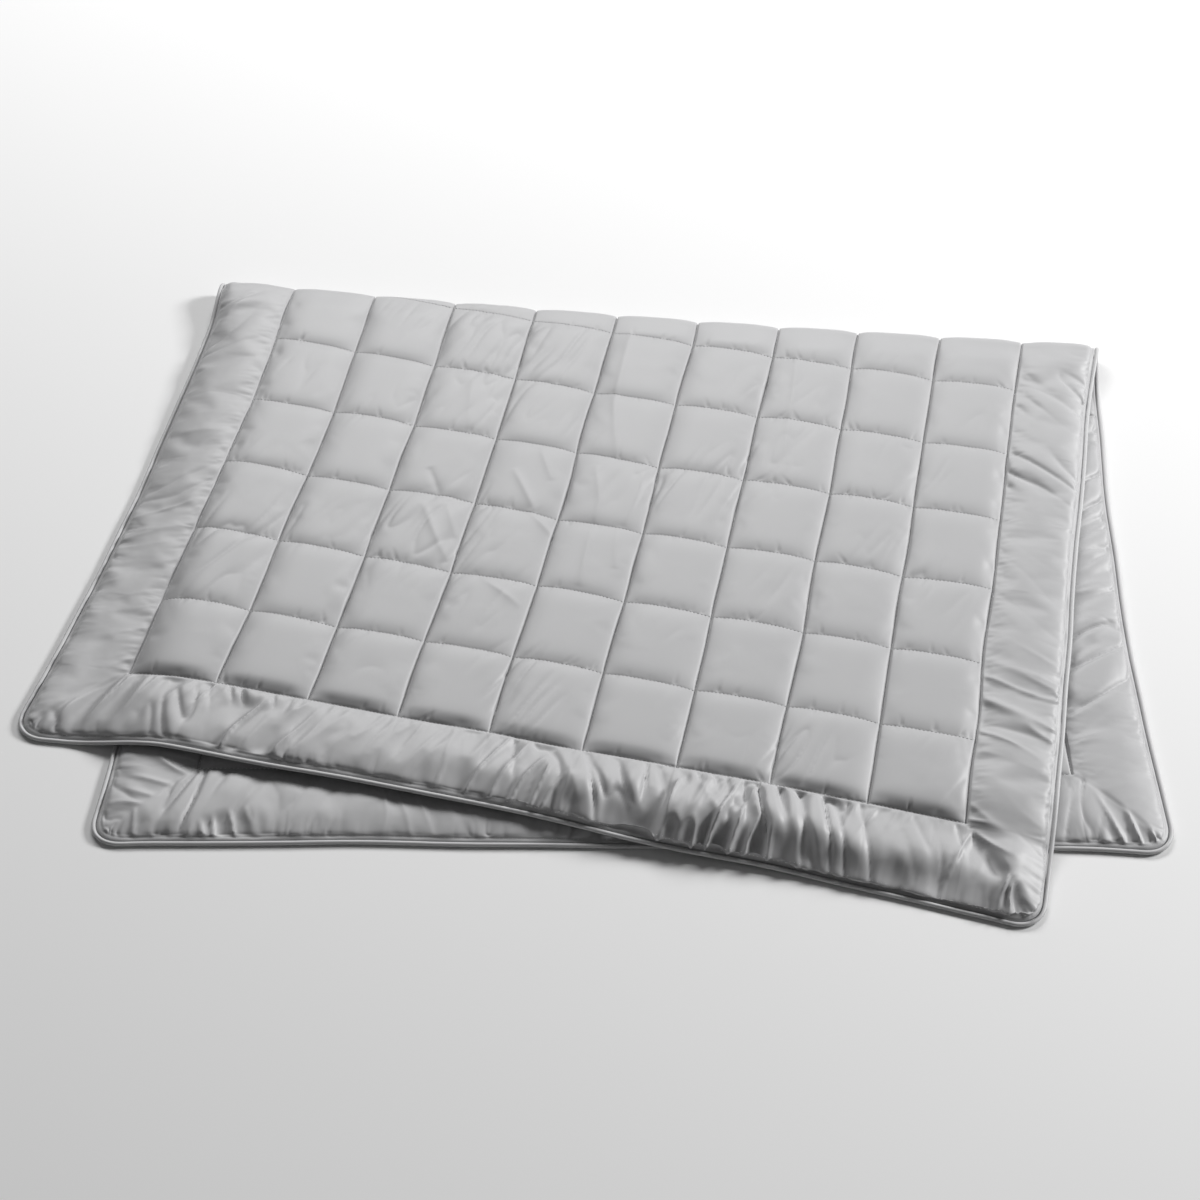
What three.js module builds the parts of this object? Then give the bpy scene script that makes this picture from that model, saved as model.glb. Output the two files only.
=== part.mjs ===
// A single-bed duvet, folded once across its length and lying flat.
// It is one filled body: a centre quilted in squares inside a plain puffed border whose corners are mitred,
// with a corded piping sewn into the seam all round the edge.
// Millimetres, +Z up. The fold lies along X at the back (+Y), and what the duvet lies on is Z = 0.
import * as THREE from "three";

// The duvet laid out flat: u runs across it, and v runs along it from the front edge of the upper layer.
const OVERALL_WIDTH = 1350;
const OVERALL_LENGTH = 2000;
const COLUMNS = 9;
const ROWS = 13;
const COLUMN_PITCH = 124;
const CORNER_RADIUS = 38;
const EDGE_DRAWN_IN = 13;

// The piping: a cord in a cloth tube, just clear of the rim that it is sewn to.
const PIPING_RADIUS = 3.2;
const PIPING_GAP = 0.3;
const PIPING_SIDES = 8;

// The filled body lies inside the piping.
const WIDTH = OVERALL_WIDTH - 2 * (2 * PIPING_RADIUS + PIPING_GAP);
const LENGTH = OVERALL_LENGTH - 2 * (2 * PIPING_RADIUS + PIPING_GAP);
const BORDER = (WIDTH - COLUMNS * COLUMN_PITCH) / 2;
const ROW_PITCH = (LENGTH - 2 * BORDER) / ROWS;

// Half-thicknesses, measured from the middle of the cloth.
const SEAM_HALF = 2.5;
const OUTER_CROWN = 14;
const INNER_CROWN = 10;
const UNEVENNESS = 0.22;
const MITRE_DEPTH = 0.3;

// The fold, which runs a little askew to the rows, so the upper layer lies turned on the lower one.
const FOLD_AT = 983;
const FOLD_SLOPE = 0.113;
const FOLD_BOW = 13;
const FOLD_SQUEEZE = 0.5;
const FOLD_SQUEEZE_REACH = 45;

// The heights of the cloth's middle over what the duvet lies on.
const LAYER_CLEARANCE = 2;
const LOWER_MIDDLE = 8;
const UPPER_MIDDLE = LOWER_MIDDLE + 2 * INNER_CROWN + LAYER_CLEARANCE;
const LOWER_EDGE = PIPING_RADIUS + 0.4;
const UPPER_EDGE = LOWER_MIDDLE + INNER_CROWN + LAYER_CLEARANCE + PIPING_RADIUS;
const EDGE_ROLL = 45;
const FOLD_HALF_ARC = (Math.PI * (UPPER_MIDDLE - LOWER_MIDDLE)) / 4;

// Where the upper layer passes the edge of the lower one, it sinks to the floor over this stretch.
const SINK_BEFORE_EDGE = 50;
const SINK_AFTER_EDGE = 70;
const SINK_BEHIND_FOLD = 80;

// How each layer has shifted sideways, spread and turned by the time it is one SHIFT_DEPTH from the fold.
const SHIFT_DEPTH = 900;
const SHIFT_WIDTH = WIDTH / 2;
const SHIFTS = {
  upper: { slide: 12, spread: -14, lateSlide: -14, lateSpread: 30, reach: 0, turn: 13 },
  lower: { slide: -82, spread: -28, lateSlide: 18, lateSpread: 54, reach: -3, turn: 10 },
};

// Places across one square or one border strip where the mesh has a line, as shares of its width.
const COLUMN_STEPS = [0, 0.2, 0.5, 0.8];
const ROW_STEPS = [0, 0.25, 0.75];
const BORDER_STEPS = [0, 0.25, 0.55, 0.82];
const evenly = (count) => Array.from({ length: count }, (_, k) => k / count);
// The rows that the fold crosses have more lines, so that it is round.
const FOLDED_ROW_STEPS = {
  5: [0, 0.25, 0.69, 0.77, 0.85, 0.92],
  6: evenly(13),
  7: [0, 0.08, 0.155, 0.45, 0.75],
};

// The middle of the box round the folded duvet, seen from the middle of its fold.
const BOX_MIDDLE_X = -25.2;
const BOX_MIDDLE_Y = -521.2;

const FOLD_ANGLE = Math.atan(FOLD_SLOPE);
const ALONG = new THREE.Vector2(Math.cos(FOLD_ANGLE), Math.sin(FOLD_ANGLE));
const ACROSS = new THREE.Vector2(-Math.sin(FOLD_ANGLE), Math.cos(FOLD_ANGLE));
const FOLD_MIDDLE = new THREE.Vector2(WIDTH / 2, FOLD_AT);

const { clamp, smoothstep, lerp } = THREE.MathUtils;

// A repeatable unevenness from 0 to 1 for a numbered square or length of border.
function uneven(a, b) {
  const wave = Math.sin(a * 12.9898 + b * 78.233) * 43758.5453;
  return wave - Math.floor(wave);
}

// A layer's in-plane place: x along the fold and y in front of it, for a point x along it and depth from it.
function shifted(layer, x, depth) {
  const far = depth / SHIFT_DEPTH;
  const side = x / SHIFT_WIDTH;
  const bow = FOLD_BOW * (1 - side * side) * (1 - clamp(far, 0, 1));
  return {
    x: x + far * (layer.slide + layer.spread * side) + far * far * (layer.lateSlide + layer.lateSpread * side),
    y: -depth - far * (layer.reach + layer.turn * side) - bow,
  };
}

// How far a place lies outside the edge of the lower layer; it is negative over the lower layer.
function pastLowerEdge(place) {
  let x = place.x;
  let depth = -place.y;
  for (let step = 0; step < 4; step++) {
    const found = shifted(SHIFTS.lower, x, depth);
    x += place.x - found.x;
    depth += found.y - place.y;
  }
  const away = depth + FOLD_HALF_ARC;
  const u = FOLD_MIDDLE.x + x * ALONG.x + away * ACROSS.x;
  const v = FOLD_MIDDLE.y + x * ALONG.y + away * ACROSS.y;
  return Math.max(-u, u - WIDTH, v - LENGTH);
}

// The sewing draws the two end edges in between their corners, so a corner moves out along v by this much.
function drawnOut(u, v) {
  const corner = EDGE_DRAWN_IN * Math.abs((2 * u) / WIDTH - 1) ** 6;
  return corner * (smoothstep(v, LENGTH - BORDER, LENGTH) + smoothstep(v, 0, BORDER) - 1);
}

// The heights at which the middle of the cloth rests in each layer, at a place so far from the cloth's edge.
function restHeights(place, depth, fromEdge) {
  const roll = smoothstep(fromEdge, 0, EDGE_ROLL);
  const outside = smoothstep(pastLowerEdge(place), -SINK_BEFORE_EDGE, SINK_AFTER_EDGE);
  const sunk = outside * smoothstep(depth, 0, SINK_BEHIND_FOLD);
  const lower = lerp(LOWER_EDGE, LOWER_MIDDLE, roll);
  const upper = lerp(lerp(UPPER_EDGE, UPPER_MIDDLE, roll), lower, sunk);
  return { lower, upper };
}

// Where the middle of the cloth is, for a point of the flat duvet.
function middle(u, v) {
  const du = u - FOLD_MIDDLE.x;
  const dv = v + drawnOut(u, v) - FOLD_MIDDLE.y;
  const x = du * ALONG.x + dv * ALONG.y;
  const past = du * ACROSS.x + dv * ACROSS.y;
  const depth = Math.max(Math.abs(past) - FOLD_HALF_ARC, 0);
  const place = shifted(past < 0 ? SHIFTS.upper : SHIFTS.lower, x, depth);

  const rest = restHeights(place, depth, Math.min(u, WIDTH - u, v, LENGTH - v));
  const radius = (rest.upper - rest.lower) / 2;
  const turn = (clamp(past / FOLD_HALF_ARC, -1, 1) * Math.PI) / 2;
  return new THREE.Vector3(
    place.x - BOX_MIDDLE_X,
    place.y + radius * Math.cos(turn) - BOX_MIDDLE_Y,
    rest.lower + radius * (1 - Math.sin(turn)),
  );
}

// The direction that the outer face looks in at a point of the flat duvet.
function outward(u, v) {
  const step = 0.5;
  const overU = middle(u + step, v).sub(middle(u - step, v));
  const overV = middle(u, v + step).sub(middle(u, v - step));
  return overU.cross(overV).normalize();
}

// The rise of a filled square or border strip at a share of the way over it.
const puffed = (share) => (1 - Math.abs(2 * share - 1) ** 2.4) ** 0.62;

// The mesh lines over one direction of the flat duvet: a border strip, the squares and a border strip.
function linesOver(cells, pitch, stepsOf) {
  const strip = [...BORDER_STEPS, 1];
  const before = strip.map((share) => ({ at: BORDER * (1 - share), border: true, share })).reverse();
  const squares = Array.from({ length: cells }, (_, cell) =>
    stepsOf(cell).map((share) => ({ at: BORDER + (cell + share) * pitch, border: false, share, cell })),
  ).flat();
  const start = BORDER + cells * pitch;
  const after = strip.map((share) => ({ at: start + BORDER * share, border: true, share }));
  return [...before.slice(0, -1), ...squares, ...after];
}

const U_LINES = linesOver(COLUMNS, COLUMN_PITCH, () => COLUMN_STEPS);
const V_LINES = linesOver(ROWS, ROW_PITCH, (row) => FOLDED_ROW_STEPS[row] ?? ROW_STEPS);

// A point of a mitred corner is drawn in towards the quilted centre, so that the outline is rounded there.
function roundedPlace(uLine, vLine) {
  const place = new THREE.Vector2(uLine.at, vLine.at);
  if (!uLine.border || !vLine.border) return place;
  const heart = new THREE.Vector2(
    uLine.at < WIDTH / 2 ? BORDER : WIDTH - BORDER,
    vLine.at < LENGTH / 2 ? BORDER : LENGTH - BORDER,
  );
  const reach = place.clone().sub(heart);
  const far = Math.max(Math.abs(reach.x), Math.abs(reach.y));
  if (far === 0) return place;
  const rim = reach.clone().multiplyScalar(BORDER / far);
  const centre = BORDER - CORNER_RADIUS;
  const a = Math.abs(rim.x);
  const b = Math.abs(rim.y);
  if (Math.min(a, b) <= centre) return place;
  // The ray from the heart meets the corner's arc where |t (a, b) - (centre, centre)| is the radius.
  const p = a * a + b * b;
  const q = centre * (a + b);
  const t = (q + Math.sqrt(q * q - p * (2 * centre * centre - CORNER_RADIUS ** 2))) / p;
  const share = (far / BORDER) ** 2;
  return heart.add(reach.multiplyScalar(lerp(1, t, share)));
}

// How far the filling pushes a face out at a mesh point, from 0 at a seam to 1 at a full crown.
function rise(uLine, vLine) {
  if (uLine.border && vLine.border) {
    const mitre = uLine.share === vLine.share ? 1 - MITRE_DEPTH : 1;
    return mitre * puffed(Math.max(uLine.share, vLine.share));
  }
  if (uLine.border) return puffed(uLine.share) * (1 - UNEVENNESS * uneven(uLine.at, vLine.at));
  if (vLine.border) return puffed(vLine.share) * (1 - UNEVENNESS * uneven(vLine.at, uLine.at));
  return puffed(uLine.share) * puffed(vLine.share) * (1 - (UNEVENNESS / 2) * uneven(uLine.cell, vLine.cell));
}

// The filling is pressed together in the fold.
function squeezed(u, v) {
  const past = (u - FOLD_MIDDLE.x) * ACROSS.x + (v - FOLD_MIDDLE.y) * ACROSS.y;
  return lerp(FOLD_SQUEEZE, 1, smoothstep(Math.abs(past), FOLD_HALF_ARC, FOLD_HALF_ARC + FOLD_SQUEEZE_REACH));
}

// A mesh point of the outer face (side 1) or of the face inside the fold (side -1).
function facePoint(uLine, vLine, side) {
  const place = roundedPlace(uLine, vLine);
  const crown = (side > 0 ? OUTER_CROWN : INNER_CROWN) * squeezed(place.x, place.y);
  const half = SEAM_HALF + rise(uLine, vLine) * (crown - SEAM_HALF);
  const point = middle(place.x, place.y).addScaledVector(outward(place.x, place.y), side * half);
  point.z = Math.max(point.z, 0);
  return point;
}

// The filled body: a thin box of mesh lines whose points are all moved onto the folded, quilted faces.
function quiltedBody() {
  const across = U_LINES.length - 1;
  const along = V_LINES.length - 1;
  const geometry = new THREE.BoxGeometry(across, along, 1, across, along, 1);
  const points = geometry.getAttribute("position");
  for (let k = 0; k < points.count; k++) {
    const uLine = U_LINES[Math.round(points.getX(k) + across / 2)];
    const vLine = V_LINES[Math.round(points.getY(k) + along / 2)];
    points.setXYZ(k, ...facePoint(uLine, vLine, Math.sign(points.getZ(k))));
  }
  return geometry;
}

// The mesh points of the rim in order, each with the way out of the flat duvet there.
function rimStations() {
  const lastU = U_LINES.length - 1;
  const lastV = V_LINES.length - 1;
  const loop = [
    ...U_LINES.slice(0, lastU).map((line) => [line, V_LINES[0]]),
    ...V_LINES.slice(0, lastV).map((line) => [U_LINES[lastU], line]),
    ...U_LINES.slice(1).reverse().map((line) => [line, V_LINES[lastV]]),
    ...V_LINES.slice(1).reverse().map((line) => [U_LINES[0], line]),
  ].map(([uLine, vLine]) => roundedPlace(uLine, vLine));
  return loop.map((place, k) => {
    const before = loop[(k + loop.length - 1) % loop.length];
    const after = loop[(k + 1) % loop.length];
    const run = after.clone().sub(before).normalize();
    return { place, out: new THREE.Vector2(run.y, -run.x) };
  });
}

// The piping: a closed tube round the rim, its rings square to the edge.
function pipedEdge() {
  const rings = rimStations().map(({ place, out }) => {
    const onCord = place.clone().addScaledVector(out, PIPING_GAP + PIPING_RADIUS);
    const centre = middle(onCord.x, onCord.y);
    const up = outward(onCord.x, onCord.y);
    const away = centre.clone().sub(middle(place.x, place.y));
    away.addScaledVector(up, -away.dot(up)).normalize();
    return { centre, up, away };
  });
  const geometry = new THREE.TorusGeometry(1, 0.1, PIPING_SIDES, rings.length);
  const points = geometry.getAttribute("position");
  for (let side = 0; side <= PIPING_SIDES; side++) {
    const angle = ((side % PIPING_SIDES) / PIPING_SIDES) * 2 * Math.PI;
    for (let k = 0; k <= rings.length; k++) {
      const { centre, up, away } = rings[k % rings.length];
      const point = centre.clone();
      point.addScaledVector(away, PIPING_RADIUS * Math.cos(angle));
      point.addScaledVector(up, PIPING_RADIUS * Math.sin(angle));
      points.setXYZ(side * (rings.length + 1) + k, ...point);
    }
  }
  return geometry;
}

const coverCloth = new THREE.MeshStandardMaterial({ color: 0xb9b9ba, roughness: 0.62, metalness: 0 });
const pipingCloth = new THREE.MeshStandardMaterial({ color: 0xcfcfd0, roughness: 0.5, metalness: 0 });

function piece(name, geometry, material) {
  const mesh = new THREE.Mesh(geometry, material);
  mesh.name = name;
  return mesh;
}

const duvet = new THREE.Group();
duvet.add(piece("quilted_body", quiltedBody(), coverCloth));
duvet.add(piece("piping", pipedEdge(), pipingCloth));

export default duvet;
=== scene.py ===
# A single-bed duvet, folded once across its length and lying flat.
# Metres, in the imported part's own frame: +X along the fold, +Y from the open edges to the fold, +Z up.
import math

import bpy
import numpy as np
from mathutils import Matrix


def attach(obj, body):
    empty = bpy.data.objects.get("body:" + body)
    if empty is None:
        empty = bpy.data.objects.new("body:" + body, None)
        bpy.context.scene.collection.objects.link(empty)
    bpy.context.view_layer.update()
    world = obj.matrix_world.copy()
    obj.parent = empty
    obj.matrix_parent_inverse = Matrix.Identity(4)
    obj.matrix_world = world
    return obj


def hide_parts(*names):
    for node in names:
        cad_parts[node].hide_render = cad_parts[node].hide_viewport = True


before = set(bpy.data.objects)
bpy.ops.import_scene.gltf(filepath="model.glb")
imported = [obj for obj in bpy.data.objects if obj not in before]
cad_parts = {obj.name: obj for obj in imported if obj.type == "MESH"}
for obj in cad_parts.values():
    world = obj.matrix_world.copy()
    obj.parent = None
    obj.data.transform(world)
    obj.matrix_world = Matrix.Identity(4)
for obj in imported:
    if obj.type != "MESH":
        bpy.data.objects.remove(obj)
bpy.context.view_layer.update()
bpy.ops.object.select_all(action="DESELECT")
scene = bpy.context.scene

# The cloth before it is folded.
# A light grey sateen cloth is laid out flat and sewn through the filling in 9 by 13 squares, with a plain
# border seamed on round them. A cloth simulation lets the filling puff it up between its seams. It covers
# one end border and eight rows; the rest of the cloth is the same result turned half round.
MM = 0.001
PIPING_RADIUS = 3.2 * MM
PIPING_GAP = 0.3 * MM
WIDTH = 1350 * MM - 2 * (2 * PIPING_RADIUS + PIPING_GAP)
LENGTH = 2000 * MM - 2 * (2 * PIPING_RADIUS + PIPING_GAP)
COLUMNS = 9
ROWS = 13
COLUMN_PITCH = 124 * MM
BORDER = (WIDTH - COLUMNS * COLUMN_PITCH) / 2
ROW_PITCH = (LENGTH - 2 * BORDER) / ROWS

BORDER_STEPS = 20
COLUMN_STEPS = 24
ROW_STEPS = 26
PUFFED_ROWS = 8
PUFF_START = 8 * MM
PUCKER_START = 0.4 * MM
PUCKER_STEPS = 3
SQUARE_SLACK = 0.004
BORDER_SLACK = 0.045
PUFF_FRAMES = 24
PUFF_PRESSURE = 4
PUFF_FLATNESS = 2.4
PUFF_ROUNDNESS = 0.62

FIELD_STEP = 1.5 * MM
FIELD_SHAPE = (int(WIDTH / FIELD_STEP) + 2, int(LENGTH / FIELD_STEP) + 2)

chance = np.random.default_rng(7)


def cloth_lines(cells, pitch, steps, far_border):
    """The places of the cloth's lattice lines over a border, its squares and the far border."""
    strip = BORDER * np.arange(BORDER_STEPS) / BORDER_STEPS
    squares = BORDER + pitch * np.arange(cells * steps + 1) / steps
    far = squares[-1] + BORDER * np.arange(1, BORDER_STEPS + 1) / BORDER_STEPS
    return np.concatenate([strip, squares, far if far_border else []])


def puffed(share):
    """The rise of a filled square or strip at a share of the way over it."""
    return (1 - np.abs(2 * share - 1) ** PUFF_FLATNESS) ** PUFF_ROUNDNESS


def share_over(place, pitch, cells):
    """How far over its own square or border strip each place is, from 0 to 1."""
    far = BORDER + cells * pitch
    inside = np.mod(place - BORDER, pitch) / pitch
    share = np.where(place < BORDER, place / BORDER, np.where(place > far, (place - far) / BORDER, inside))
    return np.clip(share, 0, 1)


def waves(source, shape, length, width, turn=0.0):
    """Smooth chance hills, so many steps long and wide, with their length turned from the first axis."""
    across = np.fft.fftfreq(shape[0])[:, None]
    along = np.fft.rfftfreq(shape[1])[None, :]
    lengthwise = across * math.cos(turn) + along * math.sin(turn)
    widthwise = along * math.cos(turn) - across * math.sin(turn)
    kept = np.exp(-2 * (math.pi * length * lengthwise) ** 2 - 2 * (math.pi * width * widthwise) ** 2)
    hills = np.fft.irfft2(np.fft.rfft2(source.normal(size=shape)) * kept, s=shape)
    return hills / hills.std()


def puffed_cloth():
    """How far each lattice point of the flat cloth is moved by the filling, in x, y and z."""
    u = cloth_lines(COLUMNS, COLUMN_PITCH, COLUMN_STEPS, True)
    v = cloth_lines(PUFFED_ROWS, ROW_PITCH, ROW_STEPS, False)
    flat_u, flat_v = np.meshgrid(u, v, indexing="ij")
    side = np.minimum(flat_u, WIDTH - flat_u)
    in_side = side < BORDER - 1e-6
    in_end = flat_v < BORDER - 1e-6
    over_u = puffed(share_over(flat_u, COLUMN_PITCH, COLUMNS))
    over_v = puffed(share_over(flat_v, ROW_PITCH, ROWS))
    corner = np.where(side < flat_v, over_u, over_v)
    rise = np.where(in_end, over_v, over_u * over_v)
    rise = np.where(in_side, over_u, rise)
    rise = np.where(in_side & in_end, corner, rise)

    seams_u = BORDER_STEPS + COLUMN_STEPS * np.arange(COLUMNS + 1)
    seams_v = BORDER_STEPS + ROW_STEPS * np.arange(PUFFED_ROWS + 1)
    held = np.zeros(flat_u.shape, bool)
    held[seams_u, BORDER_STEPS:] = True
    held[BORDER_STEPS : -BORDER_STEPS, seams_v] = True
    held[[0, -1], :] = True
    held[:, [0, -1]] = True

    start = PUFF_START * rise + PUCKER_START * waves(chance, rise.shape, PUCKER_STEPS, PUCKER_STEPS)
    start[held] = 0

    squares = chance.uniform(0, 0.25, (COLUMNS, ROWS)) ** 1.5
    column = np.clip(((flat_u - BORDER) / COLUMN_PITCH).astype(int), 0, COLUMNS - 1)
    row = np.clip(((flat_v - BORDER) / ROW_PITCH).astype(int), 0, ROWS - 1)
    slack = np.where(in_side | in_end, 1.0, squares[column, row])

    bpy.ops.mesh.primitive_grid_add(x_subdivisions=len(u) - 1, y_subdivisions=len(v) - 1, size=1)
    cloth = bpy.context.object
    points = np.stack([flat_u, flat_v, start], -1).transpose(1, 0, 2).reshape(-1, 3)
    cloth.data.vertices.foreach_set("co", points.astype(np.float32).ravel())
    numbers = np.arange(len(points)).reshape(len(v), len(u)).T
    pinned = cloth.vertex_groups.new(name="seams")
    pinned.add(numbers[held].tolist(), 1.0, "REPLACE")
    loose = cloth.vertex_groups.new(name="slack")
    for amount in np.unique(slack):
        loose.add(numbers[slack == amount].tolist(), float(amount), "REPLACE")

    stiff = cloth.vertex_groups.new(name="squares")
    stiff.add(numbers[~(in_side | in_end)].tolist(), 1.0, "REPLACE")

    fabric = cloth.modifiers.new("filling", "CLOTH")
    settings = fabric.settings
    settings.quality = 4
    settings.mass = 0.15
    settings.air_damping = 2
    settings.tension_stiffness = 40
    settings.compression_stiffness = 40
    settings.shear_stiffness = 15
    settings.bending_stiffness = 10
    settings.bending_stiffness_max = 25
    settings.bending_damping = 2
    settings.use_pressure = True
    settings.uniform_pressure_force = PUFF_PRESSURE
    settings.vertex_group_mass = "seams"
    settings.vertex_group_bending = "squares"
    settings.vertex_group_shrink = "slack"
    settings.shrink_min = -SQUARE_SLACK
    settings.shrink_max = -BORDER_SLACK
    settings.effector_weights.gravity = 0
    fabric.collision_settings.use_collision = False
    fabric.point_cache.frame_start = 1
    fabric.point_cache.frame_end = PUFF_FRAMES
    for number in range(1, PUFF_FRAMES + 1):
        scene.frame_set(number)
    bpy.ops.object.modifier_apply(modifier=fabric.name)
    moved = np.empty(points.size, np.float32)
    cloth.data.vertices.foreach_get("co", moved)
    bpy.data.objects.remove(cloth)
    scene.frame_set(1)
    moved = moved.reshape(len(v), len(u), 3).transpose(1, 0, 2).astype(float)
    return moved - np.stack([flat_u, flat_v, 0 * flat_u], -1)


def read_off(field, u, v):
    """A flat field's values at places of the cloth."""
    across = np.clip(u / FIELD_STEP, 0, field.shape[0] - 1.001)
    along = np.clip(v / FIELD_STEP, 0, field.shape[1] - 1.001)
    low_u = across.astype(int)
    low_v = along.astype(int)
    share_u = across - low_u
    share_v = along - low_v
    near = field[low_u, low_v] * (1 - share_v) + field[low_u, low_v + 1] * share_v
    far = field[low_u + 1, low_v] * (1 - share_v) + field[low_u + 1, low_v + 1] * share_v
    return near * (1 - share_u) + far * share_u


# The fold.
# The flat duvet is turned over on itself along a line that runs a little askew to the rows. So the upper
# layer lies turned on the lower one, and it sinks to the floor where it passes the lower one's edge.
CORNER_RADIUS = 38 * MM
EDGE_DRAWN_IN = 13 * MM
SEAM_HALF = 2.5 * MM
INNER_CROWN = 10 * MM

FOLD_AT = 983 * MM
FOLD_SLOPE = 0.113
FOLD_BOW = 13 * MM
FOLD_SQUEEZE_REACH = 45 * MM

LAYER_CLEARANCE = 2 * MM
LOWER_MIDDLE = 8 * MM
UPPER_MIDDLE = LOWER_MIDDLE + 2 * INNER_CROWN + LAYER_CLEARANCE
LOWER_EDGE = PIPING_RADIUS + 0.4 * MM
UPPER_EDGE = LOWER_MIDDLE + INNER_CROWN + LAYER_CLEARANCE + 7 * MM
EDGE_ROLL = 45 * MM
FOLD_HALF_ARC = math.pi * (UPPER_MIDDLE - LOWER_MIDDLE) / 4
FOLD_EDGE_ROLL = 14 * MM
FOLD_UPPER_EDGE = 28 * MM
FOLD_SQUARE_REACH = 70 * MM

SINK_BEFORE_EDGE = 70 * MM
SINK_AFTER_EDGE = 70 * MM
SINK_BEHIND_FOLD = 80 * MM

SHIFT_DEPTH = 900 * MM
SHIFT_WIDTH = WIDTH / 2
UPPER_SHIFTS = {"slide": 12, "spread": -14, "late_slide": -14, "late_spread": 30, "reach": 0, "turn": 13}
LOWER_SHIFTS = {"slide": -82, "spread": -28, "late_slide": 18, "late_spread": 54, "reach": -3, "turn": 10}

DRIFT = 1.3 * MM
DRIFT_REACH = 45 * MM / FIELD_STEP

BOX_MIDDLE_X = -25.2 * MM
BOX_MIDDLE_Y = -521.2 * MM

FOLD_ANGLE = math.atan(FOLD_SLOPE)
ALONG_U = math.cos(FOLD_ANGLE)
ALONG_V = math.sin(FOLD_ANGLE)


def smoothstep(x, start, end):
    """A smooth rise from 0 at the start to 1 at the end."""
    share = np.clip((x - start) / (end - start), 0, 1)
    return share * share * (3 - 2 * share)


def mixed(low, high, share):
    return low + (high - low) * share


def shifted(layer, x, depth):
    """A layer's own x along the fold and y in front of it, for a point x along it and depth from it."""
    far = depth / SHIFT_DEPTH
    side = x / SHIFT_WIDTH
    bow = FOLD_BOW * (1 - side**2) * (1 - np.clip(far, 0, 1))
    early = layer["slide"] + layer["spread"] * side
    late = layer["late_slide"] + layer["late_spread"] * side
    moved_x = x + MM * (far * early + far**2 * late)
    moved_y = -depth - MM * far * (layer["reach"] + layer["turn"] * side) - bow
    return moved_x, moved_y


def past_lower_edge(place_x, place_y):
    """How far a place lies outside the edge of the lower layer; it is negative over the lower layer."""
    x = place_x.copy()
    depth = -place_y
    for _ in range(4):
        found_x, found_y = shifted(LOWER_SHIFTS, x, depth)
        x = x + place_x - found_x
        depth = depth + found_y - place_y
    away = depth + FOLD_HALF_ARC
    u = WIDTH / 2 + x * ALONG_U - away * ALONG_V
    v = FOLD_AT + x * ALONG_V + away * ALONG_U
    return np.maximum(np.maximum(-u, u - WIDTH), v - LENGTH)


def past_fold(u, v):
    """How far a flat point lies behind the fold line."""
    return (v - FOLD_AT) * ALONG_U - (u - WIDTH / 2) * ALONG_V


drifting = np.random.default_rng(3)
drift_u = DRIFT * waves(drifting, FIELD_SHAPE, DRIFT_REACH, DRIFT_REACH)
drift_v = DRIFT * waves(drifting, FIELD_SHAPE, DRIFT_REACH, DRIFT_REACH)


def middle(u, v):
    """Where the middle of the folded cloth is, for points of the flat duvet."""
    from_edge = np.minimum(np.minimum(u, WIDTH - u), np.minimum(v, LENGTH - v))
    u, v = u + read_off(drift_u, u, v), v + read_off(drift_v, u, v)
    corner = EDGE_DRAWN_IN * np.abs(2 * u / WIDTH - 1) ** 6
    drawn_v = v + corner * (smoothstep(v, LENGTH - BORDER, LENGTH) + smoothstep(v, 0, BORDER) - 1)
    x = (u - WIDTH / 2) * ALONG_U + (drawn_v - FOLD_AT) * ALONG_V
    past = past_fold(u, drawn_v)
    depth = np.maximum(np.abs(past) - FOLD_HALF_ARC, 0)
    upper_x, upper_y = shifted(UPPER_SHIFTS, x, depth)
    lower_x, lower_y = shifted(LOWER_SHIFTS, x, depth)
    place_x = np.where(past < 0, upper_x, lower_x)
    place_y = np.where(past < 0, upper_y, lower_y)

    at_fold = 1 - smoothstep(depth, 0, FOLD_SQUARE_REACH)
    roll = smoothstep(from_edge, 0, mixed(EDGE_ROLL, FOLD_EDGE_ROLL, at_fold))
    outside = smoothstep(past_lower_edge(place_x, place_y), -SINK_BEFORE_EDGE, SINK_AFTER_EDGE)
    sunk = outside * smoothstep(depth, 0, SINK_BEHIND_FOLD)
    lower = mixed(LOWER_EDGE, LOWER_MIDDLE, roll)
    upper_edge = mixed(UPPER_EDGE, FOLD_UPPER_EDGE, at_fold)
    upper = mixed(mixed(upper_edge, UPPER_MIDDLE, roll), lower, sunk)
    radius = (upper - lower) / 2
    turn = np.clip(past / FOLD_HALF_ARC, -1, 1) * math.pi / 2
    return np.stack(
        [
            place_x - BOX_MIDDLE_X,
            place_y + radius * np.cos(turn) - BOX_MIDDLE_Y,
            lower + radius * (1 - np.sin(turn)),
        ],
        -1,
    )


def outward(u, v):
    """The direction that the outer face looks in, for points of the flat duvet."""
    step = 0.5 * MM
    over_u = middle(u + step, v) - middle(u - step, v)
    over_v = middle(u, v + step) - middle(u, v - step)
    facing = np.cross(over_u, over_v)
    return facing / np.linalg.norm(facing, axis=-1, keepdims=True)


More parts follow.
